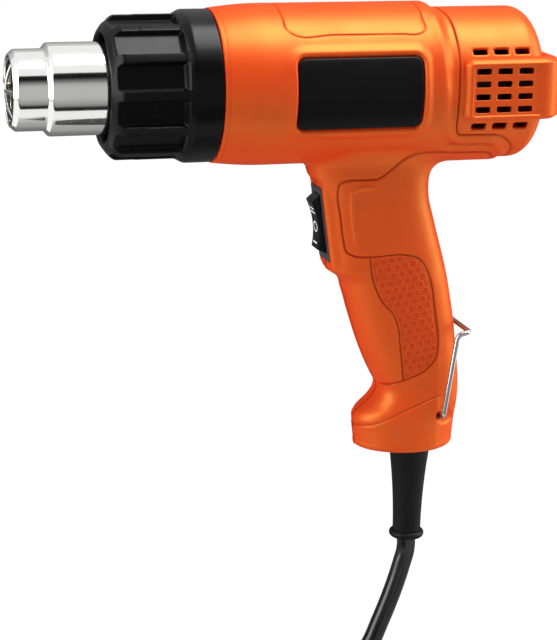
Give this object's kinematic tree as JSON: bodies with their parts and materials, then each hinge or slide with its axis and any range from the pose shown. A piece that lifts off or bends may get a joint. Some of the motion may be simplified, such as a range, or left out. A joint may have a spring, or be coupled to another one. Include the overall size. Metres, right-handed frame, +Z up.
{
  "type": "hot air tool",
  "caption": "Hand-held electric hot air tool with a moulded pistol body, ribbed heat collar, steel outlet tube, rocker switch, wire hanging bail and mains lead.",
  "frame": {"origin": "middle of the pistol grip, on the parting plane", "axes": "+X from the nozzle towards the motor, parallel to the barrel; +Y across the tool, to its right side; +Z up the grip to the barrel"},
  "size_m": [0.2387, 0.1662, 0.3175],
  "materials": {
    "orange_shell": "moulded orange plastic with a soft satin sheen",
    "badge": "smooth black plate, bare",
    "collar": "satin black glass-filled plastic",
    "bright_steel": "polished bright steel",
    "screw_steel": "plain steel",
    "mica": "pale mica sheet",
    "heater_wire": "resistance wire",
    "duct_plastic": "dark moulded plastic",
    "fan_plastic": "dark moulded plastic",
    "motor_steel": "zinc-plated steel",
    "board": "green laminate",
    "switch_plastic": "dark grey moulded plastic",
    "rocker_plastic": "black moulded plastic with white marks",
    "brass": "plain brass",
    "wire_insulation": "insulated lead",
    "guard_rubber": "matt black rubber",
    "cord_sheath": "smooth black sheath",
    "tie_plastic": "black strap",
    "plug_rubber": "moulded black plug"
  },
  "bodies": {
    "tool": {"left_shell": "orange_shell", "right_shell": "orange_shell", "badge_plate": "badge", "heat_collar": "collar", "nozzle_tube": "bright_steel", "nozzle_guard": "bright_steel", "shell_screw_1": "screw_steel", "shell_screw_2": "screw_steel", "shell_screw_3": "screw_steel", "shell_screw_4": "screw_steel", "shell_screw_5": "screw_steel", "shell_screw_6": "screw_steel", "clamp_screw_1": "screw_steel", "clamp_screw_2": "screw_steel", "mica_sleeve": "mica", "element_former": "mica", "heating_coil": "heater_wire", "fan_duct": "duct_plastic", "motor_end_cap": "duct_plastic", "cord_clamp": "duct_plastic", "motor_can": "motor_steel", "rectifier_board": "board", "switch_body": "switch_plastic", "switch_terminal_1": "brass", "switch_terminal_2": "brass", "switch_terminal_3": "brass", "plug_pin_1": "brass", "plug_pin_2": "brass", "mains_wire": "wire_insulation", "heater_wire": "wire_insulation", "motor_wire": "wire_insulation", "cord_guard": "guard_rubber", "cord_inner": "cord_sheath", "cord_drop": "cord_sheath", "cord_coil": "cord_sheath", "cord_tail": "cord_sheath", "cord_tie": "tie_plastic", "plug_body": "plug_rubber"},
    "rocker": {"rocker": "rocker_plastic"},
    "rotor": {"fan": "fan_plastic", "motor_shaft": "screw_steel"},
    "bail": {"hang_bail": "bright_steel"}
  },
  "joints": [
    {"name": "rocker_tilt", "type": "hinge", "parent": "tool", "child": "rocker", "pos_m": [-0.03126, 0, 0.03769], "axis": [0, 1, 0], "range_deg": [-10, 10]},
    {"name": "fan_spin", "type": "hinge", "parent": "tool", "child": "rotor", "pos_m": [0, 0, 0.0983], "axis": [1, 0, 0], "continuous": true},
    {"name": "bail_swing", "type": "hinge", "parent": "tool", "child": "bail", "pos_m": [0.0167, 0, -0.0501], "axis": [0, 1, 0], "range_deg": [0, 150]}
  ]
}
